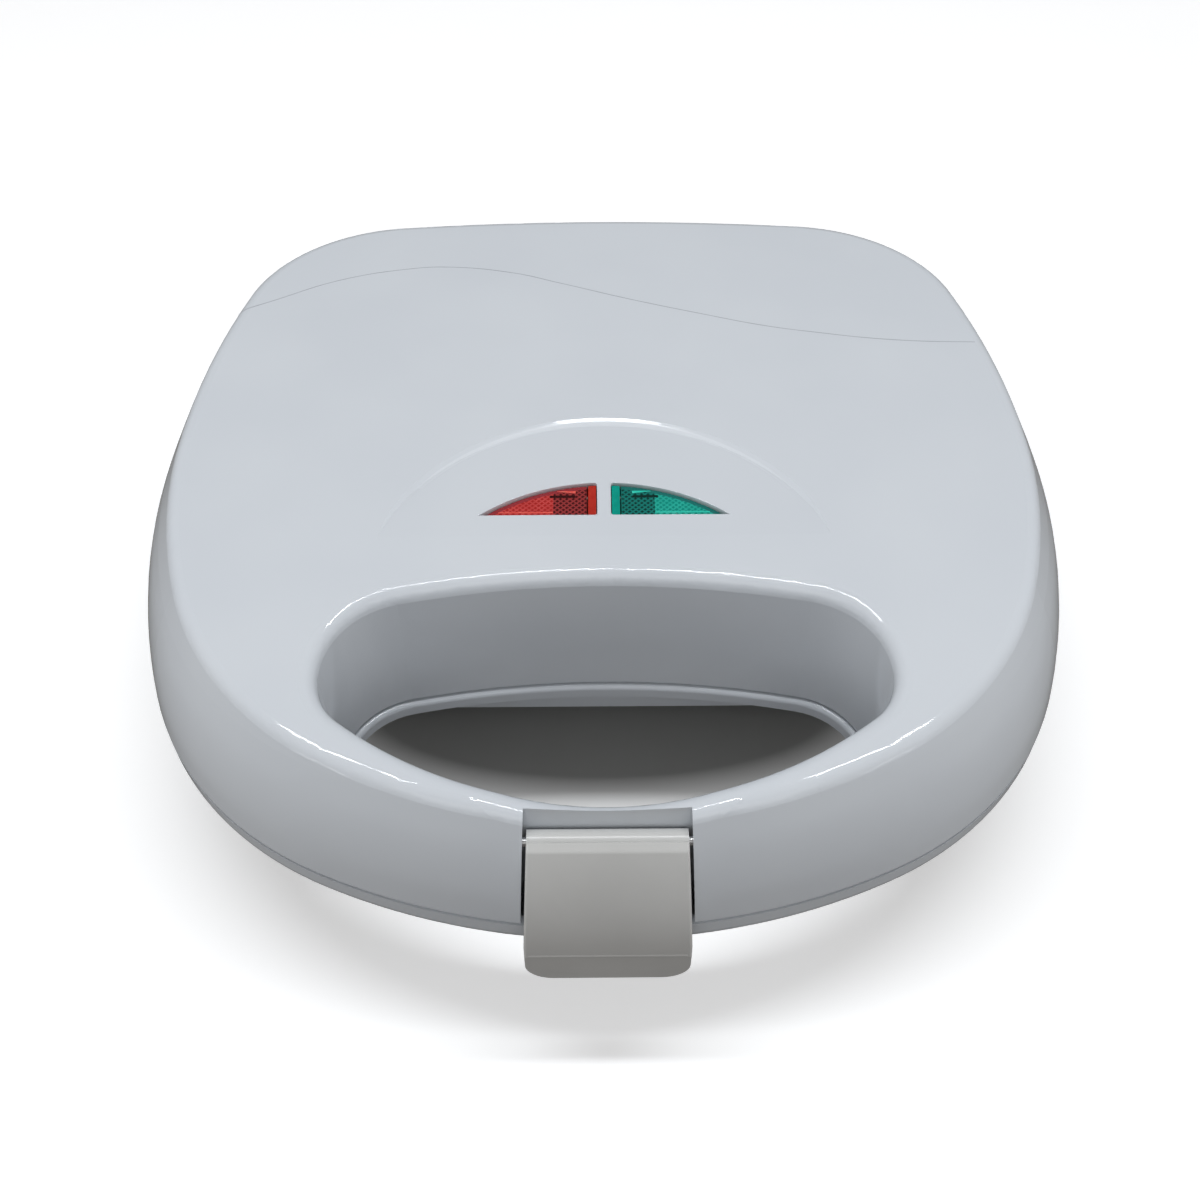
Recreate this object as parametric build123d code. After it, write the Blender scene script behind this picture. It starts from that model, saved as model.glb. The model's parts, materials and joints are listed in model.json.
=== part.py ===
from build123d import *
import os
from math import atan2, cos, degrees, radians, sin, sqrt, tan

# Overall size, in millimetres, with the front towards -Y and the floor at Z = 0
width = 230.0
body_depth = 225.0
foot_height = 4.0
base_height = 37.0
lid_height = 36.0
seam_gap = 1.0
wall = 2.4

# Plan outline: arcs between these normal angles, widest a little behind the middle
widest_offset = 1.5
front_corner_radius = 85.0
front_side_angle = 20.0
front_apex_angle = 65.0
rear_corner_radius = 56.0
rear_side_angle = 14.0
rear_apex_angle = 84.0

# Lid section: a steep foot, a broad convex wall and a shallow crown that falls to the front
lid_foot_height = 15.0
lid_foot_draft = 5.0
lid_wall_draft = 28.0
lid_wall_radius = 70.0
crown_peak_offset = -15.0
crown_front_fall = 9.6
crown_rear_fall = 3.3
crown_edge_radius = 4.0

# Base section: a rim band, a shoulder that runs in under it and a short steep wall
rim_band_height = 5.5
rim_band_draft = 2.0
shoulder_height = 16.0
shoulder_draft = 46.0
base_wall_draft = 14.0
rim_band_radius = 4.0
shoulder_radius = 10.0
base_edge_radius = 5.0

# Grip opening between the cooking box and the front bar
grip_half_width = 59.5
front_bar_width = 14.6
grip_depth = 50.9
grip_rear_radius = 210.0
grip_front_radius = 90.0
grip_rear_corner = 18.0
grip_front_corner = 12.0
grip_draft = 3.0
grip_rim_radius = 3.5
grip_lip_inset = 0.9
grip_lip_height = 4.0
grip_lip_radius = 1.2
box_front_set = 2.0
box_front_slope = 40.0
bar_depth = 11.5

# Light window: a shallow dish with two lenses cut from one round segment, behind the grip
dish_radius = 52.4
dish_set = 1.6
dish_depth = 0.9
dish_run = 40.0
dish_wall_tilt = 24.0
lens_radius = 43.0
lens_reach = 31.8
lens_flat_set = 20.8
lens_divider = 3.2
lens_recess = 0.5
lens_flange_thickness = 2.2
lens_flange = 1.4
lens_gap = 0.1
lens_corner = 0.8

# Latch
latch_top_width = 32.2
latch_foot_width = 34.6
latch_gap = 0.8
latch_wall = 2.0
latch_stand_off = 2.9
latch_pivot_set = 8.1
latch_pivot_height = 20.3
latch_knuckle_radius = 2.5
latch_pin_radius = 1.0
latch_head_height = 3.4
latch_shoulder_set = 9.0
latch_shoulder_drop = 0.9
latch_shoulder_radius = 2.0
latch_crown = 2.0
latch_cheek = 2.2
latch_crease_depth = 3.0
latch_crease_step = 0.5
latch_lip_length = 10.8
latch_lip_set = 0.6
latch_corner_radius = 6.0
latch_edge_radius = 0.6
latch_tooth_drop = 2.4
latch_tooth_height = 3.0
latch_tooth_half_width = 9.0
recess_depth = 11.0
catch_gap = 0.3

# Rear hinge
hinge_span = 88.0
hinge_reach = 6.3
hinge_radius = 4.5
hinge_pin_radius = 2.0
lid_knuckle_length = 12.0
base_ear_length = 5.0
hinge_side_gap = 0.4
hinge_leg_height = 15.0
hinge_leg_turn = 45.0
hinge_root = 12.0
hinge_pin_head = 3.0
hinge_pin_head_length = 1.2

# Cooking plates
plate_inset = 13.0
plate_front_set = 16.0
plate_corner_radius = 14.0
plate_flange = 3.0
plate_seal_gap = 0.15
pan_depth = 11.5
pan_inset = 7.0
pan_draft = 18.0
pocket_depth = 8.5
pocket_draft = 32.0
pocket_corner_radius = 9.0
pocket_edge_radius = 1.2
ridge_width = 4.0
pocket_margin = 7.5

# Inner frame that carries each plate
frame_thickness = 2.2
frame_gap = 0.3
frame_rib_height = 5.0
frame_rib_thickness = 1.6
frame_shelf = 3.0

# Heating parts behind each plate
element_radius = 3.25
element_side_set = 47.0
element_front_set = 25.0
element_rear_set = 56.5
element_tail_length = 16.0
element_tail_half_width = 16.0
element_tail_radius = 7.0
element_bend_radius = 18.0
terminal_length = 14.0
terminal_radius = 1.8
shield_thickness = 0.8
shield_depth = 15.0
shield_inset = 4.5
shield_draft = 22.0
shield_flange = 3.0
clamp_width = 8.0
clamp_thickness = 0.7
clamp_foot = 5.0
boss_radius = 4.0
boss_half_span = 35.0
boss_set = 56.0
shield_screw_length = 7.0
thermostat_radius = 8.0
thermostat_height = 7.0
thermostat_edge_radius = 1.0
thermostat_set = 78.0
fuse_radius = 2.0
fuse_length = 13.0
fuse_half_span = 30.0
fuse_set = 84.0
terminal_block_width = 24.0
terminal_block_depth = 12.0
terminal_block_height = 9.0
terminal_block_offset = 26.0
terminal_block_set = 30.0
terminal_hole_radius = 1.7

# Lamps under the lenses
lamp_radius = 2.2
lamp_length = 12.0
lamp_share = 1 / 3
lamp_depth = 9.0
lamp_tip_radius = 1.3

# Small fittings
foot_radius = 8.5
foot_recess = 1.2
foot_stem_radius = 2.6
foot_barb_radius = 3.3
foot_edge_radius = 1.2
foot_side_set = 53.0
foot_front_set = 25.0
foot_rear_set = 44.5
post_radius = 3.6
front_post_half_span = 40.0
front_post_set = 15.0
side_post_side_set = 25.0
side_post_set = 11.0
rear_post_side_set = 30.0
rear_post_set = 21.0
screw_radius = 1.5
screw_head_radius = 2.9
screw_head_height = 1.4
screw_length = 7.0
screw_runout = 0.6
gland_height = 15.0
gland_bore_radius = 3.6
gland_wall = 2.0
gland_flange_radius = 7.6
gland_flange_thickness = 2.0
gland_rim_radius = 0.7
gland_length = 11.0
running_gap = 0.05

# Levels that follow from the sizes above
seam = foot_height + base_height
lid_floor = seam + seam_gap / 2
base_top = seam - seam_gap / 2
crown_top = seam + lid_height
front_edge = -body_depth / 2
rear_edge = body_depth / 2
far = width
pick_slack = 0.01

# Offsets from the middle that follow from the sizes above
grip_front_offset = front_edge + front_bar_width
grip_rear_offset = grip_front_offset + grip_depth
box_front_offset = grip_rear_offset + box_front_set
dish_offset = grip_rear_offset + dish_set
lens_flat_offset = grip_rear_offset + lens_flat_set
lens_offset = lens_flat_offset - lens_reach
plate_front_offset = grip_rear_offset + plate_front_set
latch_pivot_offset = front_edge + latch_pivot_set
recess_rear_offset = front_edge + recess_depth
post_spots = [
    (front_post_half_span, front_edge + front_post_set),
    (width / 2 - side_post_side_set, grip_rear_offset - side_post_set),
    (width / 2 - rear_post_side_set, rear_edge - rear_post_set),
]
foot_half_span = width / 2 - foot_side_set
foot_front_offset = plate_front_offset + foot_front_set
foot_rear_offset = rear_edge - foot_rear_set
element_half_width = width / 2 - element_side_set
element_front_offset = plate_front_offset + element_front_set
element_rear_offset = rear_edge - element_rear_set
element_tail_offset = element_rear_offset + element_tail_length


def side_and_apex_radius(reach, depth, corner, side_angle, apex_angle):
    """Radii of the side arc and the apex arc that join a corner arc and span reach by depth."""
    side = radians(side_angle)
    apex = radians(apex_angle)
    reach_left = reach - corner * (cos(side) - cos(apex))
    depth_left = depth - corner * (sin(apex) - sin(side))
    side_reach = 1 - cos(side)
    apex_reach = cos(apex)
    side_depth = sin(side)
    apex_depth = 1 - sin(apex)
    pair = side_reach * apex_depth - apex_reach * side_depth
    side_radius = (reach_left * apex_depth - apex_reach * depth_left) / pair
    apex_radius = (side_reach * depth_left - side_depth * reach_left) / pair
    return side_radius, apex_radius


def outline_arcs():
    """Centre, radius, first and last normal angle of each arc on the right, from front to rear."""
    front_side, front_apex = side_and_apex_radius(
        width / 2, rear_edge + widest_offset, front_corner_radius, front_side_angle, front_apex_angle)
    rear_side, rear_apex = side_and_apex_radius(
        width / 2, rear_edge - widest_offset, rear_corner_radius, rear_side_angle, rear_apex_angle)
    runs = [
        (front_apex, -90.0, -front_apex_angle),
        (front_corner_radius, -front_apex_angle, -front_side_angle),
        (front_side, -front_side_angle, 0.0),
        (rear_side, 0.0, rear_side_angle),
        (rear_corner_radius, rear_side_angle, rear_apex_angle),
        (rear_apex, rear_apex_angle, 90.0),
    ]
    centre = Vector(0, front_edge + front_apex)
    last_radius = front_apex
    arcs = []
    for radius, first, last in runs:
        turn = radians(first)
        centre = centre + (last_radius - radius) * Vector(cos(turn), sin(turn))
        arcs.append((centre, radius, first, last))
        last_radius = radius
    return arcs


def outline_face(inset, height):
    """Plan outline drawn in by inset, as a face at the given height."""
    right = [
        CenterArc(centre, radius - inset, first, last - first)
        for centre, radius, first, last in outline_arcs()
    ]
    half = Curve() + right
    both = half + mirror(half, about=Plane.YZ)
    return Pos(0, 0, height) * make_face(both.edges())


def offset_profile(profile, inset):
    """Profile of (height, inset) pairs moved in by inset, square to each of its runs."""
    runs = []
    for (z1, i1), (z2, i2) in zip(profile, profile[1:]):
        length = sqrt((z2 - z1) ** 2 + (i2 - i1) ** 2)
        along = ((z2 - z1) / length, (i2 - i1) / length)
        lean = inset / abs(along[0])
        runs.append((z1, i1 + lean, along[1] / along[0]))
    moved = [(profile[0][0], runs[0][1])]
    for (za, ia, sa), (zb, ib, sb) in zip(runs, runs[1:]):
        z = (ib - ia + sa * za - sb * zb) / (sa - sb)
        moved.append((z, ia + sa * (z - za)))
    z, i, s = runs[-1]
    moved.append((profile[-1][0], i + s * (profile[-1][0] - z)))
    return moved


rear_apex_radius = outline_arcs()[-1][1]
hinge_middle = hinge_span / 2
hinge_sag = rear_apex_radius - sqrt(rear_apex_radius ** 2 - hinge_middle ** 2)
hinge_offset = rear_edge - hinge_sag + hinge_reach
latch_front = front_edge - latch_wall - latch_stand_off
pivot_height = seam + latch_pivot_height

# Moves the finished pieces so that the origin is on the floor under the middle of the whole
model_shift = -(latch_front + hinge_offset + hinge_radius) / 2


def banded_form(profile):
    """Solid with the plan outline whose wall follows a profile of (height, inset) pairs."""
    return loft([outline_face(inset, height) for height, inset in profile], ruled=True)


def edges_at(shape, height):
    """Edges that lie level at one height."""
    return shape.edges().filter_by_position(Axis.Z, height - pick_slack, height + pick_slack)


def slab(points, half_length):
    """Closed YZ profile drawn out to both sides along X."""
    face = make_face(Polyline(*[(0, y, z) for y, z in points], close=True))
    return extrude(face, half_length, dir=(1, 0, 0), both=True)


def box_between(low, high):
    """Box from its lowest corner to its highest corner."""
    size = Vector(*high) - Vector(*low)
    middle = (Vector(*high) + Vector(*low)) / 2
    return Pos(*middle) * Box(size.X, size.Y, size.Z)


def round_bar(radius, start, length, axis):
    """Round bar from a start point along X, Y or Z."""
    turn = {"X": Rot(0, 90, 0), "Y": Rot(-90, 0, 0), "Z": Rot(0, 0, 0)}[axis]
    return Pos(*start) * turn * Pos(0, 0, length / 2) * Cylinder(radius, length)


def to_lid(shape):
    """The same piece turned over the seam, for the lid."""
    return mirror(shape, about=Plane.XY.offset(seam))


def arc_radius(run, fall):
    """Radius of the arc that falls by fall over a level run from its top."""
    return (run ** 2 + fall ** 2) / (2 * fall)


crown_front_radius = arc_radius(crown_peak_offset - front_edge, crown_front_fall)
crown_rear_radius = arc_radius(rear_edge - crown_peak_offset, crown_rear_fall)


def crown_height(y):
    """Height of the crown surface at an offset from the middle."""
    radius = crown_front_radius if y < crown_peak_offset else crown_rear_radius
    return crown_top - radius + sqrt(radius ** 2 - (y - crown_peak_offset) ** 2)


def crown(drop):
    """Everything under the crown surface, lowered by drop."""
    top = crown_top - drop
    front_r = crown_front_radius - drop
    rear_r = crown_rear_radius - drop
    front_turn = degrees(body_depth / 2 / front_r)
    rear_turn = degrees(body_depth / rear_r)
    front = CenterArc((crown_peak_offset, top - front_r), front_r, 90, 2 * front_turn)
    rear = CenterArc((crown_peak_offset, top - rear_r), rear_r, 90, -rear_turn)
    start = front @ 1
    end = rear @ 1
    sides = Polyline(start, (start.X, foot_height), (end.X, foot_height), end)
    face = make_face(front.edges() + rear.edges() + sides.edges())
    return extrude(Plane.YZ * face, far, both=True)


def crown_edges(form):
    """Edges around the two crown faces of a form, without the edge that they share."""
    faces = form.faces().filter_by(GeomType.CYLINDER).sort_by(SortBy.AREA)[-2:]
    edges = faces[0].edges() + faces[1].edges()
    return ShapeList([edge for edge in edges if sum(edge.is_same(other) for other in edges) == 1])


def lid_form(inset, floor):
    """Outer shape of the lid drawn in by inset, from the floor level up to the crown."""
    mid = seam + lid_foot_height
    top = crown_top + wall
    mid_inset = lid_foot_height * tan(radians(lid_foot_draft))
    top_inset = mid_inset + (top - mid) * tan(radians(lid_wall_draft))
    profile = offset_profile([(floor, 0.0), (mid, mid_inset), (top, top_inset)], inset)
    form = banded_form(profile)
    form = fillet(edges_at(form, profile[1][0]), lid_wall_radius - inset)
    form = form & crown(inset)
    return fillet(crown_edges(form), crown_edge_radius - inset)


def base_form(inset, ceiling):
    """Outer shape of the base drawn in by inset, from the ceiling level down to its underside."""
    band_foot = seam - rim_band_height
    shoulder_foot = band_foot - shoulder_height
    band_inset = rim_band_height * tan(radians(rim_band_draft))
    shoulder_inset = band_inset + shoulder_height * tan(radians(shoulder_draft))
    floor_inset = shoulder_inset + (shoulder_foot - foot_height) * tan(radians(base_wall_draft))
    profile = [(ceiling, 0.0), (band_foot, band_inset), (shoulder_foot, shoulder_inset)]
    profile = offset_profile(profile + [(foot_height, floor_inset)], inset)
    floor = foot_height + inset
    slope = tan(radians(base_wall_draft))
    profile[-1] = (floor, profile[-1][1] - inset * slope)
    form = banded_form(profile)
    form = fillet(edges_at(form, profile[1][0]), rim_band_radius)
    form = fillet(edges_at(form, profile[2][0]), shoulder_radius)
    return fillet(edges_at(form, floor), base_edge_radius)


def grip_face(grow, height):
    """Plan of the grip opening, grown by grow, as a face at the given height."""
    half = grip_half_width + grow
    rear_y = grip_rear_offset + grow
    front_y = grip_front_offset - grow
    rear_r = grip_rear_radius + grow
    front_r = grip_front_radius + grow
    rear_drop = rear_r - sqrt(rear_r ** 2 - half ** 2)
    front_rise = front_r - sqrt(front_r ** 2 - half ** 2)
    rear = ThreePointArc((-half, rear_y - rear_drop), (0, rear_y), (half, rear_y - rear_drop))
    front = ThreePointArc((half, front_y + front_rise), (0, front_y), (-half, front_y + front_rise))
    right = Line(rear @ 1, front @ 0)
    left = Line(front @ 1, rear @ 0)
    face = make_face(rear.edges() + right.edges() + front.edges() + left.edges())
    face = fillet(face.vertices().sort_by(Axis.Y)[2:], grip_rear_corner + grow)
    face = fillet(face.vertices().sort_by(Axis.Y)[:2], grip_front_corner + grow)
    return Pos(0, 0, height) * face


def grip_void(grow, low, high):
    """Drafted grip opening between two heights, wider towards the top."""
    draft = tan(radians(grip_draft))
    faces = [grip_face(grow + (height - seam) * draft, height) for height in (low, high)]
    return loft(faces, ruled=True)


def recess_void(grow):
    """Latch recess in the front bar, wider towards the seam, open to the front and the top."""
    top_half = latch_top_width / 2 + latch_gap + grow
    foot_half = latch_foot_width / 2 + latch_gap + grow
    slope = (foot_half - top_half) / (latch_pivot_height + latch_head_height)
    low = foot_height
    high = crown_top + wall
    low_half = foot_half + slope * (seam - low)
    high_half = foot_half - slope * (high - seam)
    points = [(-low_half, low), (low_half, low), (high_half, high), (-high_half, high)]
    face = Plane.XZ * make_face(Polyline(*points, close=True))
    back = recess_rear_offset + grow
    return Pos(0, back, 0) * extrude(face, back - latch_front + wall)


def dish_plane(y):
    """Height of the tilted dish floor at an offset from the middle."""
    rear_y = dish_offset + dish_radius
    front_y = rear_y - dish_run
    rear_z = crown_height(rear_y) - dish_depth
    slope = (crown_height(front_y) - rear_z) / (front_y - rear_y)
    return rear_z + slope * (y - rear_y)


def dish_slab(low, high):
    """Slab between two offsets from the tilted dish floor."""
    y1 = dish_offset + dish_radius + wall
    y2 = dish_offset - dish_radius
    z1 = dish_plane(y1)
    z2 = dish_plane(y2)
    return slab([(y1, z1 + low), (y2, z2 + low), (y2, z2 + high), (y1, z1 + high)], far / 2)


def dish_void():
    """Shallow dish around the lights, deepest at its rear arc and fading out to the front."""
    floor = dish_plane(dish_offset + dish_radius)
    spread = 1 / tan(radians(dish_wall_tilt))
    foot = dish_radius - dish_depth * spread / 2
    bowl = Cone(foot, foot + wall * spread, wall)
    return (Pos(0, dish_offset, floor + wall / 2) * bowl) & dish_slab(0, dish_radius)


def lens_face(side, grow):
    """Plan of one lens, grown by grow. The side is -1 on the left and 1 on the right."""
    disc = Pos(0, lens_offset) * Circle(lens_radius + grow)
    inner = lens_divider / 2 - grow
    flat = lens_flat_offset - grow
    span = 2 * lens_radius
    face = disc & (Pos(side * (inner + span / 2), flat + span / 2) * Rectangle(span, span))
    corners = face.vertices().sort_by(lambda corner: abs(corner.X))[:2]
    return fillet(corners, lens_corner + grow)


def lens(side):
    """Indicator lens: a body that fills its window and a flange that lies under the shell."""
    underside = crown(wall + lens_flange_thickness)
    body = extrude(lens_face(side, -lens_gap), crown_top) & dish_slab(-lid_height, -lens_recess)
    flange = extrude(lens_face(side, lens_flange), crown_top) & crown(wall + lens_gap)
    return (body + flange) - underside


def post_places():
    """Plan places of the screw posts of one half."""
    return [(side * x, y) for x, y in post_spots for side in (-1, 1)]


def at_posts(shape, height):
    """Copies of a shape at every post place, with its origin at the given height."""
    return [Pos(x, y, height) * shape for x, y in post_places()]


def hinge_leg(radius, up):
    """YZ profile of a hinge knuckle and the leg that ties it to its housing wall."""
    knuckle = Pos(hinge_offset, seam) * Circle(radius)
    root = hinge_offset - hinge_reach - hinge_root
    near = seam + up * seam_gap / 2
    tip = seam + up * hinge_leg_height
    rim = radius * cos(radians(hinge_leg_turn))
    points = [(hinge_offset, near), (root, near), (root, tip), (hinge_offset + rim, seam + up * rim)]
    return Plane.YZ * (knuckle + make_face(Polyline(*points, close=True)))


def along_hinge(profile, length, offset):
    """A YZ profile drawn out at both hinges, its middle offset outwards from the hinge middle."""
    bars = extrude(profile, length / 2, both=True)
    return [Pos(side * (hinge_middle + offset), 0, 0) * bars for side in (-1, 1)]


def hinge_bar(radius, length, offset):
    """Round bars on the hinge axis at both hinges."""
    circle = Plane.YZ * (Pos(hinge_offset, seam) * Circle(radius))
    return along_hinge(circle, length, offset)


def pilot_hole():
    """Blind pilot hole for a frame screw, upwards from the frame."""
    depth = screw_length - frame_thickness + screw_runout
    return Pos(0, 0, depth / 2) * Cylinder(screw_radius, depth)


def upper_housing():
    """Lid shell with the grip opening, latch recess, light windows, posts and hinge knuckles."""
    high = crown_top + wall
    shell = lid_form(0.0, lid_floor) - grip_void(0.0, lid_floor, high)
    tops = shell.faces().filter_by(GeomType.CYLINDER).sort_by(SortBy.AREA)[-2:]
    rims = [edge for face in tops for wire in face.inner_wires() for edge in wire.edges()]
    shell = fillet(rims, grip_rim_radius)
    cavity = lid_form(wall, lid_floor) - grip_void(wall, lid_floor, high) - recess_void(wall)
    post = Pos(0, 0, lid_height / 2) * Cylinder(post_radius, lid_height)
    lift = lid_floor + frame_thickness
    cavity = cavity - at_posts(post, lift)
    shell = shell - cavity - recess_void(0.0) - dish_void()
    shell = shell - [extrude(lens_face(side, 0.0), high) for side in (-1, 1)]
    shell = shell - at_posts(pilot_hole(), lift)
    legs = along_hinge(hinge_leg(hinge_radius, 1), lid_knuckle_length, 0)
    shell = shell + [leg - cavity for leg in legs]
    shell = shell - hinge_bar(hinge_pin_radius + running_gap, lid_knuckle_length, 0)
    return shell - latch_pin(running_gap)


def pivot_bar(radius, half_length):
    """Round bar on the latch pivot, the same length to both sides."""
    return round_bar(radius, (-half_length, latch_pivot_offset, pivot_height), 2 * half_length, "X")


def latch_pin(grow):
    """Pin across the latch recess, its ends held in the recess's side walls."""
    return pivot_bar(latch_pin_radius + grow, latch_top_width / 2 + latch_gap + wall)


def box_front(grow, height):
    """Offset of the cooking box's front wall at a height, moved in by grow."""
    slope = radians(box_front_slope)
    below = max(seam - bar_depth - height, 0.0)
    return box_front_offset + below * tan(slope) + grow / cos(slope)


def lip_void(grow):
    """Grip opening through the base's rim, a little smaller than in the lid."""
    return extrude(grip_face(grow - grip_lip_inset, seam - grip_lip_height - grow), far)


def under_lip_void(grow):
    """Grip opening below the rim, with the cooking box's straight front wall behind it."""
    low = foot_height - wall
    half = grip_half_width + grow
    rear = box_front_offset + grow
    front = (grip_front_offset + grip_rear_offset) / 2
    straight = Pos(0, (front + rear) / 2, low) * Rectangle(2 * half, rear - front)
    straight = fillet(straight.vertices().sort_by(Axis.Y)[2:], grip_front_corner)
    return extrude(grip_face(grow, low) + straight, seam - grip_lip_height + grow - low)


def front_void(grow):
    """Space under the front bar and in front of the cooking box."""
    shelf = seam - bar_depth + grow
    low = foot_height - wall
    front = front_edge - wall
    points = [(front, shelf), (box_front(grow, shelf), shelf), (box_front(grow, low), low), (front, low)]
    return slab(points, far / 2)


def base_block(inset, ceiling):
    """Base with its grip opening and undercut front, drawn in by inset."""
    block = base_form(inset, ceiling) - front_void(inset) - lip_void(inset)
    lip = block.faces().sort_by(Axis.Z)[-1].inner_wires()
    block = fillet([edge for wire in lip for edge in wire.edges()], grip_lip_radius)
    return block - under_lip_void(inset)


def lower_housing():
    """Base shell with its grip rim, screw posts, foot seats, hinge ears and cord inlet."""
    shell = base_block(0.0, base_top)
    cavity = base_block(wall, base_top)
    lift = base_top - frame_thickness
    post = Pos(0, 0, -base_height / 2) * Cylinder(post_radius, base_height)
    cavity = cavity - at_posts(post, lift)
    pad = Pos(0, 0, wall / 2 + foot_height) * Cylinder(foot_radius + wall, wall + 2 * foot_recess)
    cavity = cavity - at_feet(pad) - gland_bar(gland_flange_radius)
    shell = shell - cavity
    shell = shell - at_posts(Rot(180, 0, 0) * pilot_hole(), lift)
    shell = shell - at_feet(foot(running_gap))
    boss = gland_bar(gland_flange_radius)
    shell = shell + (boss - front_half()) - gland_bar(gland_bore_radius + gland_wall)
    ear_offset = (lid_knuckle_length + base_ear_length) / 2 + hinge_side_gap
    for offset in (-ear_offset, ear_offset):
        ears = along_hinge(hinge_leg(hinge_radius, -1), base_ear_length, offset)
        shell = shell + [ear - cavity for ear in ears]
    return shell - hinge_pins(running_gap / 2)


def at_feet(shape):
    """Copies of a shape at the four foot places."""
    spots = [(side * foot_half_span, y) for y in (foot_front_offset, foot_rear_offset) for side in (-1, 1)]
    return [Pos(x, y, 0) * shape for x, y in spots]


def foot(grow):
    """Push-in rubber foot: a round pad with a barbed stem, standing on the floor."""
    seat = foot_height + foot_recess
    inner = foot_height + wall + foot_recess
    pad = Pos(0, 0, seat / 2) * Cylinder(foot_radius + grow, seat)
    pad = fillet(edges_at(pad, 0), foot_edge_radius)
    stem = round_bar(foot_stem_radius + grow, (0, 0, seat), inner - seat, "Z")
    barb = Cone(foot_barb_radius, foot_stem_radius, foot_stem_radius)
    return pad + stem + Pos(0, 0, inner + foot_stem_radius / 2) * barb


def gland_bar(radius):
    """Round bar along the cord inlet, out to the rear edge of the boss."""
    start = rear_edge - gland_flange_thickness - gland_length
    return round_bar(radius, (0, start, seam - gland_height), gland_length, "Y")


def front_half():
    """Everything forward of the cord inlet's inner end."""
    end = rear_edge - gland_flange_thickness - gland_length
    return box_between((-far, -far, 0), (far, end, far))


def cord_gland():
    """Flanged bush in the cord inlet, its bore open for a round cord."""
    bush = gland_bar(gland_bore_radius + gland_wall - running_gap)
    start = rear_edge - gland_flange_thickness
    flange = round_bar(gland_flange_radius, (0, start, seam - gland_height), gland_flange_thickness, "Y")
    rim = flange.edges().filter_by(GeomType.CIRCLE).sort_by(Axis.Y)[-1:]
    flange = fillet(rim, gland_rim_radius)
    return bush + flange - round_bar(gland_bore_radius, (0, 0, seam - gland_height), far, "Y")


def hinge_pins(grow):
    """Both hinge pins: a shank through the ears and the knuckle with a flat head outside."""
    reach = lid_knuckle_length / 2 + hinge_side_gap + base_ear_length
    shanks = hinge_bar(hinge_pin_radius + grow, 2 * reach, 0)
    heads = hinge_bar(hinge_pin_head + grow, hinge_pin_head_length, reach + hinge_pin_head_length / 2)
    return [shank + head for shank, head in zip(shanks, heads)]


def plate_face(grow, height):
    """Plan of a cooking plate, grown by grow: the outline drawn in, with a straight front."""
    front = plate_front_offset - grow
    face = outline_face(plate_inset - grow, height)
    face = face & (Pos(0, front + far / 2, height) * Rectangle(2 * far, far))
    corners = face.vertices().sort_by(Axis.Y)[:2]
    return fillet(corners, plate_corner_radius + grow)


def pocket_faces():
    """Plans of the four triangular pockets, two to each slice, parted by a diagonal ridge."""
    top = seam - plate_seal_gap
    field = plate_face(-pocket_margin, top)
    low = field.bounding_box().min
    high = field.bounding_box().max
    cell = Pos((high.X + ridge_width / 2) / 2, 0, top) * Rectangle(high.X - ridge_width / 2, far)
    turn = degrees(atan2(high.Y - low.Y, -high.X))
    ridge = Pos(high.X / 2, (low.Y + high.Y) / 2, top) * Rot(0, 0, turn) * Rectangle(far, ridge_width)
    halves = ((field & cell) - ridge).faces()
    right = [offset(offset(face, -pocket_corner_radius), pocket_corner_radius) for face in halves]
    return right + [mirror(face, about=Plane.YZ) for face in right]


def boss_places():
    """Plan places of the two bosses that carry a heat shield."""
    return [(side * boss_half_span, plate_front_offset + boss_set) for side in (-1, 1)]


def cooking_plate():
    """Cast plate with a sealing flange, a deep pan, four pockets and two screw bosses."""
    pan_foot = pan_underside()
    pan_rim = seam - plate_seal_gap - plate_flange
    lean = (pan_rim - pan_foot) * tan(radians(pan_draft))
    pan = loft([plate_face(-pan_inset, pan_rim), plate_face(-pan_inset - lean, pan_foot)], ruled=True)
    body = extrude(plate_face(0, pan_rim), plate_flange) + pan
    for face in pocket_faces():
        body = body - extrude(face, pocket_depth, dir=(0, 0, -1), taper=pocket_draft)
    rims = body.faces().sort_by(Axis.Z)[-1].inner_wires()
    body = fillet([edge for wire in rims for edge in wire.edges()], pocket_edge_radius)
    low = shield_floor() + shield_thickness
    boss = Pos(0, 0, (low + pan_foot) / 2) * Cylinder(boss_radius, pan_foot - low)
    hole = Pos(0, 0, low + shield_screw_length / 2) * Cylinder(screw_radius, shield_screw_length)
    body = body + [Pos(x, y, 0) * boss for x, y in boss_places()]
    return body - [Pos(x, y, 0) * hole for x, y in boss_places()]


def inner_frame():
    """Deck that closes a half around its plate, with an upstand and a shelf for the plate."""
    low = base_top - frame_thickness
    deck = extrude(outline_face(wall + frame_gap, low), frame_thickness)
    deck = deck - grip_void(wall + frame_gap, low - wall, seam + wall) - under_lip_void(wall + frame_gap)
    rib_foot = base_top - frame_rib_height
    rib = extrude(plate_face(frame_gap + frame_rib_thickness, rib_foot), frame_rib_height)
    shelf_top = seam - plate_seal_gap - plate_flange - running_gap
    well = extrude(plate_face(frame_gap, shelf_top), far)
    mouth = extrude(plate_face(-frame_shelf, rib_foot), far)
    frame = deck + rib - well - mouth - recess_void(wall + frame_gap)
    return frame - at_posts(frame_screw(running_gap), base_top)


def frame_screw(grow):
    """Countersunk screw, its head flush with the seam side of the frame."""
    head = Cone(screw_radius + grow, screw_head_radius + grow, screw_head_height)
    shank = Cylinder(screw_radius + grow, screw_length)
    return Pos(0, 0, -screw_head_height / 2) * head + Pos(0, 0, -screw_length / 2) * shank


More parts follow.
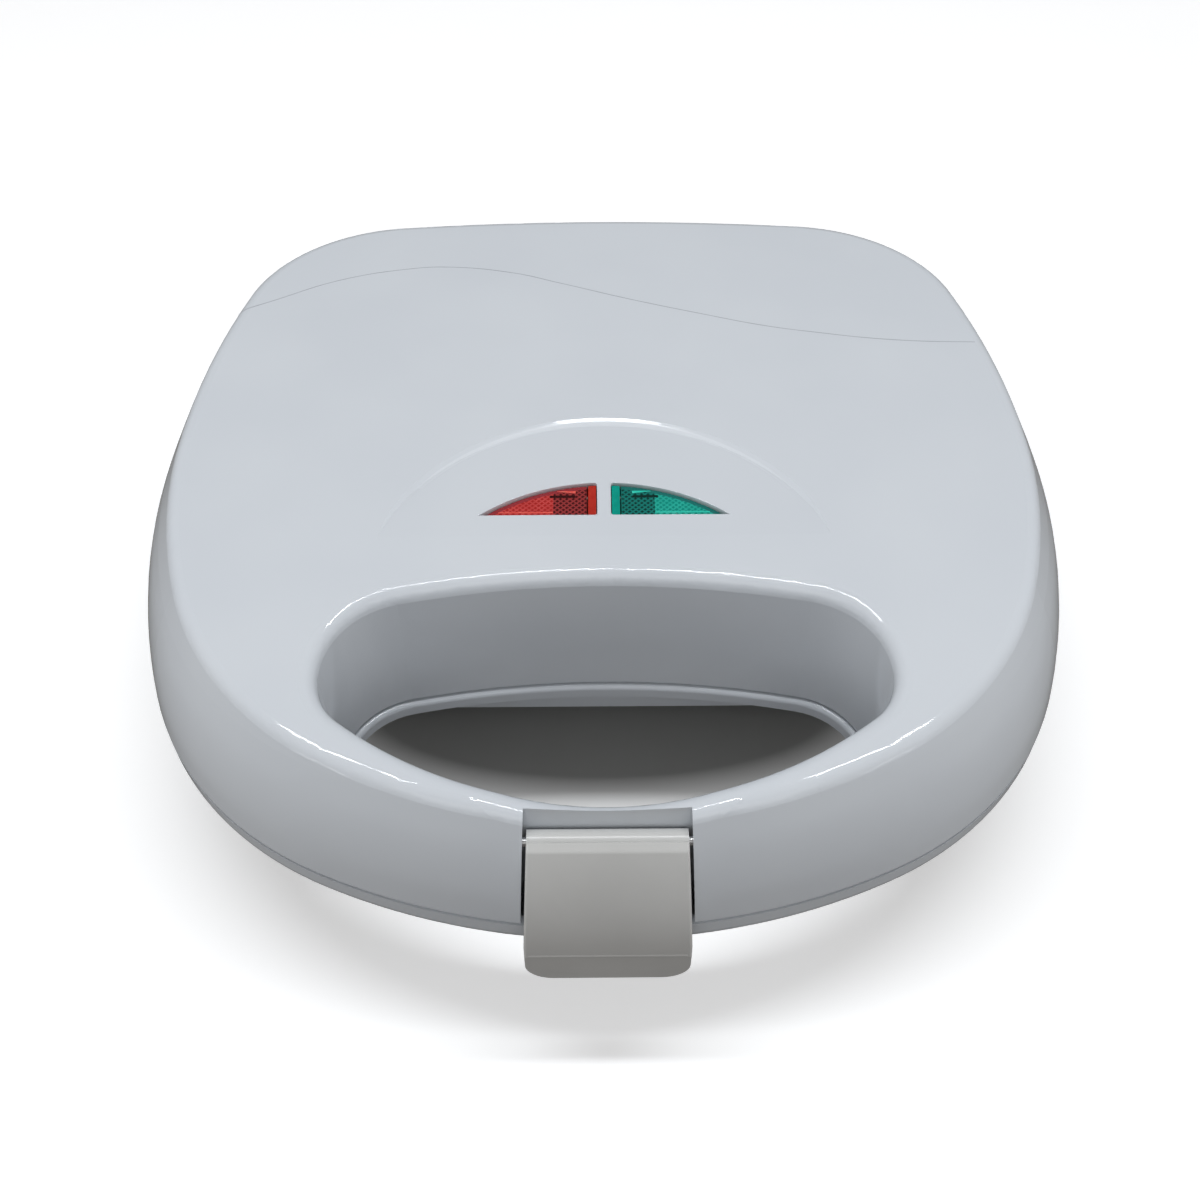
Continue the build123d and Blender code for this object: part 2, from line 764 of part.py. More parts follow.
def heating_element():
    """Tubular element bent into an open ring behind the pan, with a pin at each end."""
    level = element_level()
    tail = element_tail_half_width
    side = element_half_width
    right = [(tail, element_tail_offset, level), (tail, element_rear_offset, level),
             (side, element_rear_offset, level), (side, element_front_offset, level)]
    left = [(-x, y, z) for x, y, z in reversed(right)]
    radii = [element_tail_radius, element_bend_radius, element_bend_radius]
    path = FilletPolyline(*(right + left), radius=radii + radii[::-1])
    start = Plane(path @ 0, z_dir=path % 0)
    tube = sweep(start * Circle(element_radius), path=path)
    pins = [round_bar(terminal_radius, (side * tail, element_tail_offset, level), terminal_length, "Y")
            for side in (-1, 1)]
    return tube + pins


def pan_underside():
    """Height of the lower cooking plate's underside."""
    return seam - plate_seal_gap - pan_depth


def element_level():
    """Height of the lower heating element's centre line."""
    return pan_underside() - element_radius - running_gap


def shield_floor():
    """Height of the lower heat shield's underside."""
    return base_top - frame_rib_height - running_gap - shield_depth


def heat_shield():
    """Folded sheet tray around the element, screwed to the plate's bosses."""
    foot = shield_floor()
    rim = foot + shield_depth
    lean = shield_depth * tan(radians(shield_draft))
    thin = shield_thickness
    outer = loft([plate_face(-shield_inset, rim), plate_face(-shield_inset - lean, foot)], ruled=True)
    room = loft([plate_face(-shield_inset - thin, rim + thin),
                 plate_face(-shield_inset - thin - lean, foot + thin)], ruled=True)
    flange = extrude(plate_face(shield_flange - shield_inset, rim - thin), thin)
    hole = Cylinder(screw_radius + running_gap, far)
    return outer + flange - room - [Pos(x, y, 0) * hole for x, y in boss_places()]


def shield_screws():
    """Two pan-head screws that hold the heat shield to the plate."""
    foot = shield_floor()
    length = shield_thickness + shield_screw_length - screw_runout
    shank = round_bar(screw_radius - running_gap, (0, 0, foot), length, "Z")
    head = round_bar(screw_head_radius, (0, 0, foot - screw_head_height), screw_head_height, "Z")
    head = fillet(edges_at(head, foot - screw_head_height), screw_head_height / 2)
    return [Pos(x, y, 0) * (shank + head) for x, y in boss_places()]


def clamp_profile(radius):
    """XZ profile that holds the element from below and runs up to the pan."""
    level = element_level()
    rise = pan_underside() - level
    trough = Pos(0, level) * Circle(radius) + Pos(0, level + radius) * Rectangle(2 * radius, 2 * radius)
    return trough & (Pos(0, level + rise - radius) * Rectangle(4 * radius, 2 * radius))


def element_clamps():
    """Three bent straps that press the element against the pan."""
    room = element_radius + running_gap
    outer = room + clamp_thickness
    foot = Rectangle(2 * (outer + clamp_foot), clamp_thickness)
    bent = clamp_profile(outer) + Pos(0, pan_underside() - clamp_thickness / 2) * foot - clamp_profile(room)
    strap = extrude(Plane.XZ * bent, clamp_width / 2, both=True)
    middle = (element_front_offset + element_rear_offset) / 2
    sides = [Pos(side * element_half_width, middle, 0) * strap for side in (-1, 1)]
    return sides + [Pos(0, element_front_offset, 0) * Rot(0, 0, 90) * strap]


def thermostat():
    """Round thermostat under the lower heat shield, with two tabs."""
    place = Pos(0, plate_front_offset + thermostat_set, shield_floor())
    body = Pos(0, 0, -thermostat_height / 2) * Cylinder(thermostat_radius, thermostat_height)
    body = fillet(edges_at(body, -thermostat_height), thermostat_edge_radius)
    half = clamp_width / 2
    tab = box_between((-half, 0, -shield_thickness), (half, thermostat_radius + clamp_foot, 0))
    return place * (body + tab + Rot(0, 0, 180) * tab)


def thermal_fuse(side):
    """Cartridge fuse in a crimped clip that hangs from a heat shield."""
    foot = shield_floor()
    level = foot - fuse_radius - clamp_thickness
    middle = side * fuse_half_span
    y = plate_front_offset + fuse_set
    body = round_bar(fuse_radius, (middle - fuse_length / 2, y, level), fuse_length, "X")
    band = round_bar(fuse_radius + clamp_thickness, (middle - clamp_width / 2, y, level), clamp_width, "X")
    tab = box_between((middle - clamp_width / 2, y - fuse_radius - clamp_foot, foot - clamp_thickness),
                      (middle + clamp_width / 2, y, foot))
    return body + band + tab


def terminal_block():
    """Two-way terminal block on the base's floor, with a bore for each wire."""
    floor = foot_height + wall
    rear = rear_edge - terminal_block_set
    middle = terminal_block_offset
    half = terminal_block_width / 2
    block = box_between((middle - half, rear - terminal_block_depth, floor),
                        (middle + half, rear, floor + terminal_block_height))
    level = floor + terminal_block_height / 2
    return block - [round_bar(terminal_hole_radius, (middle + side * half / 2, 0, level), far, "Y")
                    for side in (-1, 1)]


def lamp_carrier():
    """Tray under the lenses with a cell for each lamp."""
    low, high = lamp_room()
    tray = box_between(low, high)
    skin = lens_flange_thickness / 2
    middle = (low[1] + high[1]) / 2
    for side in (-1, 1):
        ends = sorted((side * skin / 2, side * (high[0] - skin)))
        tray = tray - box_between((ends[0], low[1] + skin, low[2] + skin), (ends[1], high[1] - skin, far))
    return tray


def lamp_room():
    """Lowest and highest corner of the lamp carrier, close under the lens flanges."""
    half = sqrt(lens_radius ** 2 - (lens_flat_offset - lens_offset) ** 2)
    top = crown_height(lens_flat_offset) - wall - lens_flange_thickness - frame_gap
    rear = lens_offset + lens_radius
    return (-half, lens_flat_offset, top - lamp_depth), (half, rear, top)


def neon_lamps():
    """One round-ended glow lamp lying in each cell of the carrier."""
    low, high = lamp_room()
    skin = lens_flange_thickness / 2
    height = low[2] + skin + lamp_radius + running_gap
    lamps = []
    for side in (-1, 1):
        start = side * high[0] * lamp_share - lamp_length / 2
        bar = round_bar(lamp_radius, (start, (low[1] + high[1]) / 2, height), lamp_length, "X")
        lamps.append(fillet(bar.edges().filter_by(GeomType.CIRCLE), lamp_tip_radius))
    return lamps


def latch_face():
    """YZ corners of the latch face: the top of its shoulder and its lower crease."""
    top = pivot_height + latch_head_height
    shoulder = Vector(latch_front + latch_shoulder_set, top - latch_shoulder_drop)
    return shoulder, Vector(latch_front, seam - latch_crease_depth)


def latch_arc(inset):
    """Barrel curve of the latch face, moved in by inset."""
    shoulder, crease = latch_face()
    middle = (shoulder + crease) / 2 - Vector(latch_crown, 0)
    step = Vector(inset, 0)
    return ThreePointArc(shoulder + step - Vector(0, inset), middle + step, crease + step)


def latch_lip(inset):
    """YZ corners of the lip below the crease, moved in by inset: its top and its foot."""
    crease = latch_face()[1]
    top = Vector(latch_front + latch_crease_step + inset, crease.Y)
    return top, top + Vector(latch_lip_set, -latch_lip_length)


def latch_knuckle():
    """Round YZ profile around the pivot."""
    return Pos(latch_pivot_offset, pivot_height) * Circle(latch_knuckle_radius)


def latch_block():
    """Latch filled in from its face back to the rear edge of its cheeks."""
    shoulder, crease = latch_face()
    lip_top, lip_foot = latch_lip(0.0)
    back_top, back_foot = latch_lip(latch_wall)
    arc = latch_arc(0.0)
    rest = Polyline(crease, lip_top, lip_foot, back_foot, back_top, (back_top.X, seam),
                    (latch_pivot_offset - latch_knuckle_radius, seam + latch_wall),
                    (latch_pivot_offset, pivot_height),
                    (latch_pivot_offset - latch_knuckle_radius, pivot_height + latch_head_height), shoulder)
    face = make_face(arc.edges() + rest.edges())
    face = fillet(face.vertices().sort_by_distance(shoulder)[0], latch_shoulder_radius)
    block = extrude(Plane.YZ * (face + latch_knuckle()), latch_foot_width / 2, both=True) & latch_taper()
    barrel = block.faces().filter_by(GeomType.CYLINDER).sort_by(SortBy.AREA)[-1]
    return fillet(barrel.edges().filter_by(GeomType.LINE, reverse=True), latch_edge_radius)


def latch_hollow():
    """Space behind the latch face, between its cheeks."""
    shoulder = latch_face()[0]
    back_top, back_foot = latch_lip(latch_wall)
    arc = latch_arc(latch_wall)
    rear = recess_rear_offset + wall
    low = back_foot.Y - wall
    rest = Polyline(arc @ 1, back_top, back_foot, (back_foot.X, low), (rear, low),
                    (rear, shoulder.Y - latch_wall), arc @ 0)
    face = make_face(arc.edges() + rest.edges()) - latch_knuckle()
    return extrude(Plane.YZ * face, latch_top_width / 2 - latch_cheek, both=True)


def latch_taper():
    """Front view of the latch, wider at its foot and round at its lower corners, drawn out in depth."""
    slope = (latch_foot_width - latch_top_width) / 2 / (latch_pivot_height + latch_head_height)
    foot = latch_lip(0.0)[1].Y
    foot_half = latch_foot_width / 2
    top_half = latch_foot_width / 2 - slope * lid_height
    points = [(-foot_half, foot), (foot_half, foot), (foot_half, seam), (top_half, crown_top),
              (-top_half, crown_top), (-foot_half, seam)]
    face = make_face(Polyline(*points, close=True))
    face = fillet(face.vertices().sort_by(Axis.Y)[:2], latch_corner_radius)
    return extrude(Plane.XZ * face, far, both=True)


def latch_tooth():
    """Tooth behind the lip that reaches back to the base's rim band."""
    high = latch_face()[1].Y - latch_tooth_drop
    low = high - latch_tooth_height
    root = latch_front + latch_crease_step + latch_wall / 2
    tip = front_edge - catch_gap
    middle = (low + high) / 2
    return slab([(root, low), (tip, middle), (tip, high), (root, high)], latch_tooth_half_width)


def latch():
    """Grey latch: barrel face, side cheeks, pivot knuckle, lower lip and tooth."""
    body = latch_block() - latch_hollow() + latch_tooth()
    return body - pivot_bar(latch_pin_radius + running_gap, far)


parts = {
    "upper_housing": upper_housing,
    "lower_housing": lower_housing,
    "latch": latch,
    "latch_pin": lambda: latch_pin(0),
    "upper_inner_frame": lambda: to_lid(inner_frame()),
    "lower_inner_frame": inner_frame,
    "upper_cooking_plate": lambda: to_lid(cooking_plate()),
    "lower_cooking_plate": cooking_plate,
    "upper_heating_element": lambda: to_lid(heating_element()),
    "lower_heating_element": heating_element,
    "upper_heat_shield": lambda: to_lid(heat_shield()),
    "lower_heat_shield": heat_shield,
    "red_lens": lambda: lens(-1),
    "green_lens": lambda: lens(1),
    "upper_element_clamps": lambda: [to_lid(clamp) for clamp in element_clamps()],
    "lower_element_clamps": element_clamps,
    "upper_shield_screws": lambda: [to_lid(screw) for screw in shield_screws()],
    "lower_shield_screws": shield_screws,
    "thermostat": thermostat,
    "upper_thermal_fuse": lambda: to_lid(thermal_fuse(-1)),
    "lower_thermal_fuse": lambda: thermal_fuse(1),
    "terminal_block": terminal_block,
    "lamp_carrier": lamp_carrier,
    "neon_lamps": neon_lamps,
    "cord_gland": cord_gland,
    "hinge_pin_left": lambda: hinge_pins(0)[0],
    "hinge_pin_right": lambda: hinge_pins(0)[1],
    "upper_frame_screws": lambda: [to_lid(s) for s in at_posts(frame_screw(0), base_top)],
    "lower_frame_screws": lambda: at_posts(frame_screw(0), base_top),
    "foot_front_left": lambda: at_feet(foot(0))[0],
    "foot_front_right": lambda: at_feet(foot(0))[1],
    "foot_rear_left": lambda: at_feet(foot(0))[2],
    "foot_rear_right": lambda: at_feet(foot(0))[3],
}

os.makedirs("parts", exist_ok=True)
for name, make in parts.items():
    made = make()
    solids = [solid for piece in (made if isinstance(made, list) else [made]) for solid in piece.solids()]
    shape = solids[0] if len(solids) == 1 else Compound(solids)
    export_step(Pos(0, model_shift, 0) * shape, f"parts/{name}.step")
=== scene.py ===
import json
from math import cos, pi, radians, sin, sqrt

import bpy
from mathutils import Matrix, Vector


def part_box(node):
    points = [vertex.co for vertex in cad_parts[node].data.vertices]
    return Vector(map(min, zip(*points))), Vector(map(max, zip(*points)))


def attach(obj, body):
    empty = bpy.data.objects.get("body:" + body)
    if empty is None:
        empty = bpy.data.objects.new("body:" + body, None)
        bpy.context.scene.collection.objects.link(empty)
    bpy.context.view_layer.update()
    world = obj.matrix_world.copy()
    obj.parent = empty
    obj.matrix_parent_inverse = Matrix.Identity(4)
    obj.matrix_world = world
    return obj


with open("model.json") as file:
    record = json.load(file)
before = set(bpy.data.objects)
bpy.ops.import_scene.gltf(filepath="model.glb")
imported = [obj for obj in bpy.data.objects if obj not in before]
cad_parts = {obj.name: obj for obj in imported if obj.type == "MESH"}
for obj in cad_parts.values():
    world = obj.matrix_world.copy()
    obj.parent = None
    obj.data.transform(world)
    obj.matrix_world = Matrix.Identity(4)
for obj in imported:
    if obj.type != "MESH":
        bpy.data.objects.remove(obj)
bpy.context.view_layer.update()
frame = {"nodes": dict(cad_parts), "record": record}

# Everything is in metres, with the front towards -Y and the floor at Z = 0. The row shift takes
# a row of the source to the frame, and the seam is the height at which lid and base meet.
mm = 0.001
row_shift = -2.083 * mm
seam = 41.0 * mm

# Camera of the photograph: above the front edge, looking down at the grip
view_turn = radians(-0.49)
view_elevation = radians(47.28)
view_distance = 347.2 * mm
view_target = Vector((0, -22.1 * mm, seam))
view_lens = 41.31
view_shift_x = -0.0033
sensor_width = 36.0

# Floor: its colour as the object's surroundings, its glow where the camera sees it, and its
# painted shadow: a darker ellipse under the body, without glow, with its middle, its stretch and
# where it fades out
floor_size = 6.0
floor_bounce = (0.19, 0.18, 0.17)
floor_glow = 0.3
floor_grain = 0.6
floor_shades = (0.93, 0.93, 0.93), (0.95, 0.95, 0.95)
painted_floor_shadow = (0.34, 0.34, 0.33)
shade_middle = -22 * mm
shade_stretch = (1 / (105 * mm), 1 / (42 * mm))
shade_fade = (0.6, 1.0)

# Studio: brightness of the room at the horizon and overhead, and the lights with their place,
# the point that they face, their two sides, their power and whether polished faces mirror them
room_colour = (0.90, 0.89, 0.89)
room_low = 0.12
room_high = 0.46
overhead_colour = (0.94, 0.97, 1.0)
low_target = (0, 0, 0.05)
lights = [
    ("overhead", (0, 0.03, 1.2), (0, 0.03, 0), 1.2, 0.07, 7.0, True),
    ("front_high", (0, -1.2, 0.95), low_target, 1.6, 0.7, 3.0, True),
    ("front_left", (-0.9, -0.8, 0.3), low_target, 0.26, 0.05, 0.14, True),
    ("front_right", (0.9, -0.8, 0.35), low_target, 0.26, 0.05, 0.14, True),
    ("side_left", (-1.1, -0.15, 0.16), low_target, 0.5, 0.35, 3.0, False),
    ("side_right", (1.1, -0.15, 0.16), low_target, 0.5, 0.35, 3.0, False),
]

# Light window: two lenses cut from one round segment, each with a flange under the shell. The
# prisms are a diagonal net of cells, whose lighter lines, painted light on the prism edges, take
# up a share of each cell's half width.
lens_steps = 360
lens_flange = 1.4 * mm
lens_gap = 0.1 * mm
lens_radius = 43.0 * mm
lens_cover = 0.45 * mm
lens_side_gap = 0.25 * mm
lens_front_gap = 0.4 * mm
prism_pitch = 1.03 * mm
prism_height = 0.12 * mm
prism_floor = 0.8 * mm
prism_jitter = 0.12
prism_line = (0.12, 0.26)
prism_patches = 2.2 * mm
light_strip = 2.0 * mm
strip_gap = 0.35 * mm
strip_bevel = 0.12 * mm
strip_rise = 0.25 * mm
lens_border = 1.2 * mm
border_fade = 0.15 * mm
window_middle = -60.15 * mm

# Painted shade over the lamp, the dark slot bar that paints the shade in its slot, and the glint
# behind it, a painted highlight: distances from the middle, and from the flat front edge
shade_start = 2.4 * mm
shade_length = 9.4 * mm
slot_start = 6.7 * mm
slot_length = 6.0 * mm
slot_set_back = 7.1 * mm
slot_width = 0.8 * mm
glint_start = 6.6 * mm
glint_length = 4.4 * mm
glint_set_back = 8.6 * mm
glint_width = 0.8 * mm
glint_taper = 0.8
slot_rise = 0.08 * mm

# Painted highlight along the front edge of a lens, and the rounded edge of its window in the
# shell
edge_highlight_width = 0.35 * mm
edge_highlight_set_back = 1.75 * mm
edge_highlight_end = 4.2 * mm
rim_bead = 0.14 * mm
rim_sunk = 0.06 * mm

# Dish round the lights: middle of its arc, and the rows and reach of its duller wall
dish_middle = -47.48 * mm
dish_foot_reach = 51.4 * mm
dish_dull_reach = 52.4 * mm
dish_fade = 0.3 * mm
dish_dullness = 0.4
dish_wall_range = (-30 * mm, -10 * mm)

# Line that waves across the crown, in millimetres to the right of the middle and behind it.
# Lines on the crown are drawn at the drop height and then let down onto it.
wave_line = [(-98.0, 54.5), (-90.4, 58.9), (-72.2, 69.6), (-53.6, 75.1), (-44.1, 76.0),
             (-24.6, 72.8), (-11.4, 67.5), (7.5, 59.5), (25.9, 52.6), (44.0, 46.4),
             (58.2, 43.1), (70.6, 40.7), (84.1, 39.2), (97.9, 38.7)]
wave_steps = 16
wave_bead = 0.42 * mm
wave_sunk = 0.36 * mm
drop_height = 100 * mm

# Rounded crease of the latch, above its lip: its size, and its row and height
crease_steps = 32
crease_radius = 1.0 * mm
crease_length = 33.4 * mm
crease_place = (-118.56 * mm, 38.4 * mm)

# Vertices closer than this are one
weld = 0.001 * mm


def set_socket(shader, name, value):
    """Sets one of a shader's own sockets."""
    shader.inputs[name].default_value = value


class Finish:
    """A material and the few node patterns that its finish is made of, sized in metres."""

    def __init__(self, name, roughness, metallic=0.0):
        self.material = bpy.data.materials.new(name)
        self.material.use_nodes = True
        self.nodes = self.material.node_tree.nodes
        self.links = self.material.node_tree.links
        self.shader = self.nodes["Principled BSDF"]
        set_socket(self.shader, "Roughness", roughness)
        set_socket(self.shader, "Metallic", metallic)
        self.place = self.nodes.new("ShaderNodeTexCoord").outputs["Object"]

    def noise(self, size, detail=3.0, stretch=(1, 1, 1)):
        """Cloudy pattern with features of about the given size."""
        mapping = self.nodes.new("ShaderNodeMapping")
        mapping.inputs["Scale"].default_value = stretch
        self.links.new(self.place, mapping.inputs["Vector"])
        node = self.nodes.new("ShaderNodeTexNoise")
        node.inputs["Scale"].default_value = 1 / size
        node.inputs["Detail"].default_value = detail
        self.links.new(mapping.outputs["Vector"], node.inputs["Vector"])
        return node.outputs["Fac"]

    def cells(self, size):
        """Cell pattern with cells of about the given size."""
        node = self.nodes.new("ShaderNodeTexVoronoi")
        node.inputs["Scale"].default_value = 1 / size
        self.links.new(self.place, node.inputs["Vector"])
        return node.outputs["Distance"]

    def reach(self, middle, stretch=(1, 1)):
        """Plan distance from an upright axis, stretched in x and y."""
        node = self.nodes.new("ShaderNodeMapping")
        start = [-place * share for place, share in zip(middle, stretch)]
        node.inputs["Location"].default_value = (*start, 0)
        node.inputs["Scale"].default_value = (*stretch, 0)
        self.links.new(self.place, node.inputs["Vector"])
        length = self.nodes.new("ShaderNodeVectorMath")
        length.operation = "LENGTH"
        self.links.new(node.outputs["Vector"], length.inputs[0])
        return length.outputs["Value"]

    def sum(self, operation, first, second, third=0.0):
        """Result of one arithmetic step on patterns or numbers."""
        node = self.nodes.new("ShaderNodeMath")
        node.operation = operation
        for socket, value in zip(node.inputs, (first, second, third)):
            if isinstance(value, bpy.types.NodeSocket):
                self.links.new(value, socket)
            else:
                socket.default_value = value
        return node.outputs["Value"]

    def along(self, axis):
        """One of the object's own coordinates."""
        node = self.nodes.new("ShaderNodeSeparateXYZ")
        self.links.new(self.place, node.inputs["Vector"])
        return node.outputs[axis]

    def spread(self, pattern, low, high, start=0.35, end=0.65):
        """Pattern stretched from its middle range to the range low to high."""
        node = self.nodes.new("ShaderNodeMapRange")
        node.inputs["From Min"].default_value = start
        node.inputs["From Max"].default_value = end
        node.inputs["To Min"].default_value = low
        node.inputs["To Max"].default_value = high
        self.links.new(pattern, node.inputs["Value"])
        return node.outputs["Result"]

    def mix(self, pattern, first, second):
        """Colour that goes from the first to the second with a pattern."""
        node = self.nodes.new("ShaderNodeMix")
        node.data_type = "RGBA"
        for name, colour in (("A", first), ("B", second)):
            socket = [s for s in node.inputs if s.name == name and s.type == "RGBA"][0]
            if isinstance(colour, bpy.types.NodeSocket):
                self.links.new(colour, socket)
            else:
                socket.default_value = (*colour, 1)
        factor = [s for s in node.inputs if s.name == "Factor" and s.type == "VALUE"][0]
        self.links.new(pattern, factor)
        return [s for s in node.outputs if s.type == "RGBA"][0]

    def clouded(self, pattern, first, second):
        """Colour that goes from the first to the second over a pattern's middle range."""
        return self.mix(self.spread(pattern, 0, 1), first, second)

    def colour(self, pattern):
        """Base colour from a pattern of colours."""
        self.links.new(pattern, self.shader.inputs["Base Color"])

    def rough(self, pattern, low, high):
        """Roughness that varies with a pattern."""
        self.links.new(self.spread(pattern, low, high), self.shader.inputs["Roughness"])

    def bumps(self, *layers):
        """Surface relief from patterns, each with its height in metres."""
        last = None
        for pattern, height in layers:
            node = self.nodes.new("ShaderNodeBump")
            node.inputs["Distance"].default_value = height
            self.links.new(pattern, node.inputs["Height"])
            if last is not None:
                self.links.new(last, node.inputs["Normal"])
            last = node.outputs["Normal"]
        self.links.new(last, self.shader.inputs["Normal"])


def gloss_white():
    """Glossy white moulded plastic with a cool cast, a faint ripple and a duller dish wall."""
    finish = Finish("gloss_white_moulding", 0.1)
    cloud = finish.noise(40 * mm, 2.0)
    finish.colour(finish.clouded(cloud, (0.69, 0.725, 0.768), (0.71, 0.745, 0.785)))
    reach = finish.reach((0, dish_middle))
    below = finish.spread(reach, 1, 0, dish_dull_reach, dish_dull_reach + dish_fade)
    above = finish.spread(reach, 0, 1, dish_foot_reach - dish_fade, dish_foot_reach)
    wall = finish.sum("MULTIPLY", below, above)
    wall = finish.sum("MULTIPLY", wall, finish.spread(finish.along("Y"), 0, 1, *dish_wall_range))
    gloss = finish.spread(finish.noise(14 * mm, 5.0), 0.05, 0.09)
    dull = finish.sum("MULTIPLY_ADD", wall, dish_dullness, gloss)
    finish.links.new(dull, finish.shader.inputs["Roughness"])
    finish.bumps((finish.noise(9 * mm, 1.0), 0.02 * mm),
                 (finish.noise(0.8 * mm, 2.0), 0.002 * mm))
    return finish.material


def satin_grey():
    """Satin warm grey plastic of the latch, finely grained."""
    finish = Finish("satin_grey_moulding", 0.24)
    cloud = finish.noise(18 * mm, 3.0)
    finish.colour(finish.clouded(cloud, (0.61, 0.61, 0.595), (0.64, 0.64, 0.625)))
    finish.rough(finish.noise(9 * mm, 3.0), 0.21, 0.26)
    finish.bumps((finish.noise(0.35 * mm, 2.0), 0.004 * mm))
    return finish.material


def dark_frame_plastic():
    """Dark heat-resistant plastic of the inner frames, lightly grained and rubbed."""
    finish = Finish("dark_frame_moulding", 0.45)
    cloud = finish.noise(25 * mm, 3.0)
    finish.colour(finish.clouded(cloud, (0.030, 0.030, 0.032), (0.044, 0.044, 0.046)))
    finish.rough(finish.noise(6 * mm, 4.0), 0.36, 0.55)
    finish.bumps((finish.noise(0.5 * mm, 2.0), 0.02 * mm))
    return finish.material


def non_stick_coat():
    """Dark sprayed coating on cast aluminium, with fine pale specks and a slight orange peel."""
    finish = Finish("non_stick_coating", 0.35)
    cloud = finish.noise(30 * mm, 3.0)
    base = finish.clouded(cloud, (0.022, 0.021, 0.021), (0.034, 0.032, 0.031))
    specks = finish.spread(finish.cells(1.3 * mm), 1, 0, 0.05, 0.16)
    finish.colour(finish.mix(specks, base, (0.10, 0.098, 0.095)))
    finish.rough(finish.noise(5 * mm, 4.0), 0.28, 0.42)
    finish.bumps((finish.noise(1.6 * mm, 2.0), 0.03 * mm),
                 (finish.noise(0.3 * mm, 1.0), 0.006 * mm))
    return finish.material


def metal(name, dark, light, rough_low, rough_high, grain, stretch):
    """Bare metal with a drawn or rolled grain."""
    finish = Finish(name, rough_low, 1.0)
    lines = finish.noise(grain, 4.0, stretch)
    finish.colour(finish.clouded(lines, dark, light))
    finish.rough(finish.noise(4 * mm, 4.0), rough_low, rough_high)
    finish.bumps((lines, 0.01 * mm))
    return finish.material


def clear_tint(name, colour, deep):
    """Clear tinted plastic of a lens: a polished face that lets the prisms under it show."""
    finish = Finish(name, 0.08)
    cloud = finish.noise(6 * mm, 2.0)
    finish.colour(finish.clouded(cloud, deep, colour))
    finish.bumps((finish.noise(5 * mm, 1.0), 0.01 * mm))
    set_socket(finish.shader, "Alpha", 0.07)
    set_socket(finish.shader, "Specular IOR Level", 0.25)
    return finish.material


def prism_tint(name, line, field, dark_line, dark_field, border, lamp_x):
    """Moulded prisms of a lens: a net of lighter lines painted as light on the prism edges, with
    painted shade over the lamp, in a plain border.
    """
    finish = Finish(name, 0.4)
    set_socket(finish.shader, "Specular IOR Level", 0.1)
    # Painted shade: darker cells and lines over the lamp
    over = finish.sum("COMPARE", finish.along("X"), lamp_x, shade_length / 2)
    turn = finish.nodes.new("ShaderNodeMapping")
    turn.inputs["Rotation"].default_value = (0, 0, pi / 4)
    finish.links.new(finish.place, turn.inputs["Vector"])
    net = finish.nodes.new("ShaderNodeTexVoronoi")
    net.voronoi_dimensions = "2D"
    net.feature = "DISTANCE_TO_EDGE"
    net.inputs["Scale"].default_value = 1 / prism_pitch
    net.inputs["Randomness"].default_value = prism_jitter
    finish.links.new(turn.outputs["Vector"], net.inputs["Vector"])
    # Painted light: the net's lighter lines stand for light caught on the prism edges
    cell = finish.spread(net.outputs["Distance"], 0, 1, *prism_line)
    wide = finish.mix(cell, line, field)
    near = finish.mix(cell, dark_line, dark_field)
    patchy = finish.mix(finish.spread(finish.noise(prism_patches), 0, 0.35), wide, field)
    inside = finish.mix(over, patchy, near)
    reach = finish.reach((0, window_middle))
    inner = lens_radius - lens_border
    edge = finish.spread(reach, 0, 1, inner - border_fade, inner)
    finish.colour(finish.mix(edge, inside, border))
    finish.bumps((finish.noise(1.0 * mm, 1.0), 0.01 * mm))
    return finish.material


def tinted(name, colour, light, roughness):
    """Smooth tinted plastic of the strips inside a lens, and flat tints for the painted shade and
    painted highlight bars in it.
    """
    finish = Finish(name, roughness)
    set_socket(finish.shader, "Specular IOR Level", 0.1)
    finish.colour(finish.clouded(finish.noise(2 * mm), colour, light))
    finish.bumps((finish.noise(1.5 * mm, 1.0), 0.01 * mm))
    return finish.material


def crown_line_shade():
    """White moulding in the shade of the fine line across the crown."""
    finish = Finish("crown_line_shade", 0.4)
    finish.colour(finish.clouded(finish.noise(6 * mm), (0.36, 0.38, 0.42), (0.42, 0.44, 0.48)))
    finish.rough(finish.noise(3 * mm), 0.35, 0.45)
    return finish.material


def rubber():
    """Dull dark rubber with a dusty bloom."""
    finish = Finish("foot_rubber", 0.8)
    cloud = finish.noise(4 * mm, 4.0)
    finish.colour(finish.clouded(cloud, (0.035, 0.035, 0.036), (0.07, 0.07, 0.07)))
    finish.rough(cloud, 0.7, 0.9)
    finish.bumps((finish.noise(0.6 * mm, 2.0), 0.03 * mm))
    return finish.material


def plain_plastic(name, dark, light, roughness):
    """Plain moulded plastic of the hidden fittings."""
    finish = Finish(name, roughness)
    cloud = finish.noise(8 * mm, 3.0)
    finish.colour(finish.clouded(cloud, dark, light))
    finish.rough(finish.noise(3 * mm, 4.0), roughness * 0.8, roughness * 1.2)
    finish.bumps((finish.noise(0.6 * mm, 2.0), 0.015 * mm))
    return finish.material


def lamp_glass():
    """Clear glass of a glow lamp, faintly hazed."""
    finish = Finish("lamp_glass", 0.1)
    cloud = finish.noise(2 * mm, 3.0)
    finish.colour(finish.clouded(cloud, (0.8, 0.74, 0.68), (0.9, 0.86, 0.8)))
    finish.rough(cloud, 0.06, 0.2)
    set_socket(finish.shader, "Alpha", 0.55)
    return finish.material


